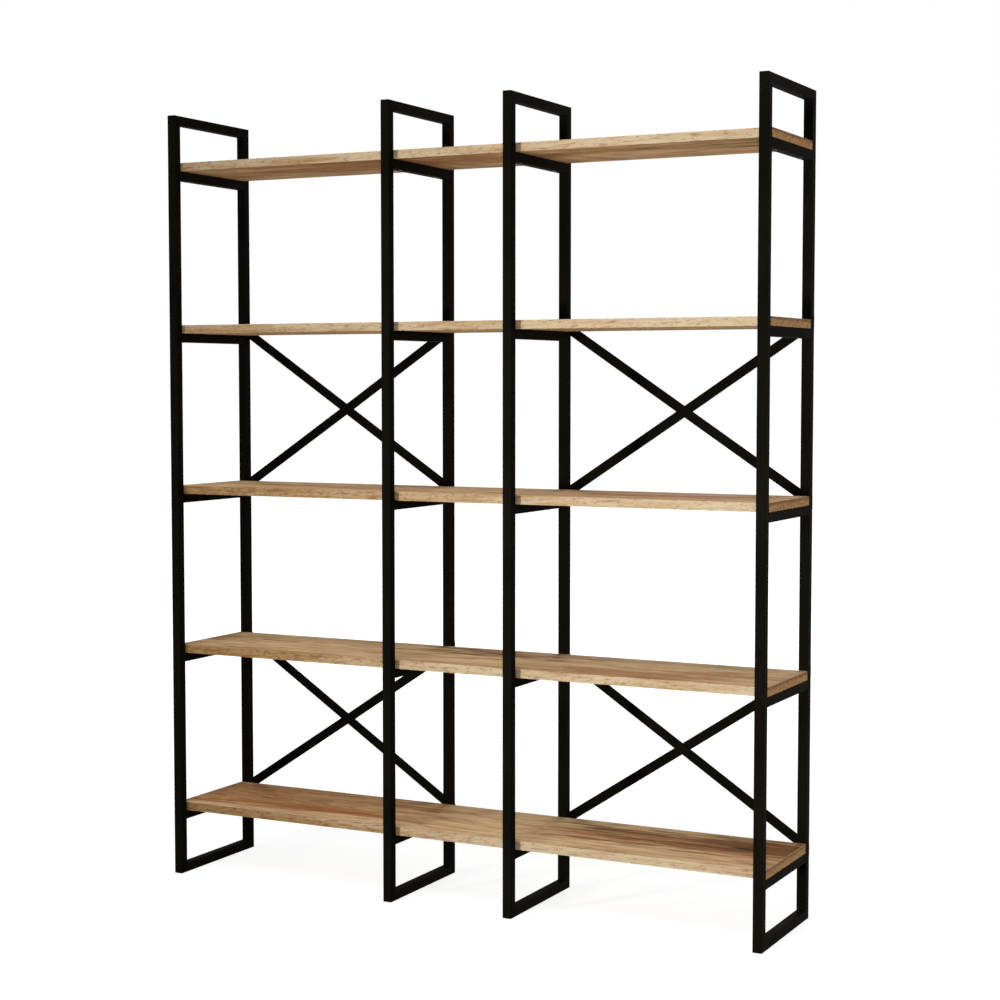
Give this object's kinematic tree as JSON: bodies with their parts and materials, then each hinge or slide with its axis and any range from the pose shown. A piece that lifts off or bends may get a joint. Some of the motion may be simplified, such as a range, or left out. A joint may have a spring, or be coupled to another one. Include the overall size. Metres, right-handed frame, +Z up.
{
  "type": "shelving unit",
  "caption": "Tall open shelving unit: square steel tube ladder frames carry full-length wood-faced boards in wide and narrow bays, with flat strips crossed behind the wide bays.",
  "frame": {"origin": "on the floor, under the middle of the unit's outline", "axes": "+X to the right seen from the front, +Y to the back, where the braces are, +Z up"},
  "size_m": [1.383, 0.291, 1.68],
  "materials": {
    "black_powder_coated_steel": "satin black powder coat with a fine texture",
    "oak_faced_board": "matt oak facing with long grain and darker streaks",
    "oak_edge_band": "pale oak edge band with short dark flecks",
    "zinc_plated_steel": "bright zinc plate",
    "black_oxide_steel": "black oxide, lightly oiled"
  },
  "bodies": {
    "root": {"left_end_front_upright": "black_powder_coated_steel", "left_end_back_upright": "black_powder_coated_steel", "left_end_top_rail": "black_powder_coated_steel", "left_end_bottom_rail": "black_powder_coated_steel", "left_end_bearer_1": "black_powder_coated_steel", "left_end_bearer_2": "black_powder_coated_steel", "left_end_bearer_3": "black_powder_coated_steel", "left_end_bearer_4": "black_powder_coated_steel", "left_end_bearer_5": "black_powder_coated_steel", "left_inner_front_upright": "black_powder_coated_steel", "left_inner_back_upright": "black_powder_coated_steel", "left_inner_top_rail": "black_powder_coated_steel", "left_inner_bottom_rail": "black_powder_coated_steel", "left_inner_bearer_1": "black_powder_coated_steel", "left_inner_bearer_2": "black_powder_coated_steel", "left_inner_bearer_3": "black_powder_coated_steel", "left_inner_bearer_4": "black_powder_coated_steel", "left_inner_bearer_5": "black_powder_coated_steel", "right_inner_front_upright": "black_powder_coated_steel", "right_inner_back_upright": "black_powder_coated_steel", "right_inner_top_rail": "black_powder_coated_steel", "right_inner_bottom_rail": "black_powder_coated_steel", "right_inner_bearer_1": "black_powder_coated_steel", "right_inner_bearer_2": "black_powder_coated_steel", "right_inner_bearer_3": "black_powder_coated_steel", "right_inner_bearer_4": "black_powder_coated_steel", "right_inner_bearer_5": "black_powder_coated_steel", "right_end_front_upright": "black_powder_coated_steel", "right_end_back_upright": "black_powder_coated_steel", "right_end_top_rail": "black_powder_coated_steel", "right_end_bottom_rail": "black_powder_coated_steel", "right_end_bearer_1": "black_powder_coated_steel", "right_end_bearer_2": "black_powder_coated_steel", "right_end_bearer_3": "black_powder_coated_steel", "right_end_bearer_4": "black_powder_coated_steel", "right_end_bearer_5": "black_powder_coated_steel", "shelf_1_board": "oak_faced_board", "shelf_1_edge_band": "oak_edge_band", "shelf_2_board": "oak_faced_board", "shelf_2_edge_band": "oak_edge_band", "shelf_3_board": "oak_faced_board", "shelf_3_edge_band": "oak_edge_band", "shelf_4_board": "oak_faced_board", "shelf_4_edge_band": "oak_edge_band", "shelf_5_board": "oak_faced_board", "shelf_5_edge_band": "oak_edge_band", "shelf_screws": "black_oxide_steel", "brace_rivet_nuts": "zinc_plated_steel", "left_lower_brace_front_strip": "black_powder_coated_steel", "left_lower_brace_rear_strip": "black_powder_coated_steel", "left_upper_brace_front_strip": "black_powder_coated_steel", "left_upper_brace_rear_strip": "black_powder_coated_steel", "right_lower_brace_front_strip": "black_powder_coated_steel", "right_lower_brace_rear_strip": "black_powder_coated_steel", "right_upper_brace_front_strip": "black_powder_coated_steel", "right_upper_brace_rear_strip": "black_powder_coated_steel", "brace_screws": "black_oxide_steel"}
  },
  "joints": []
}
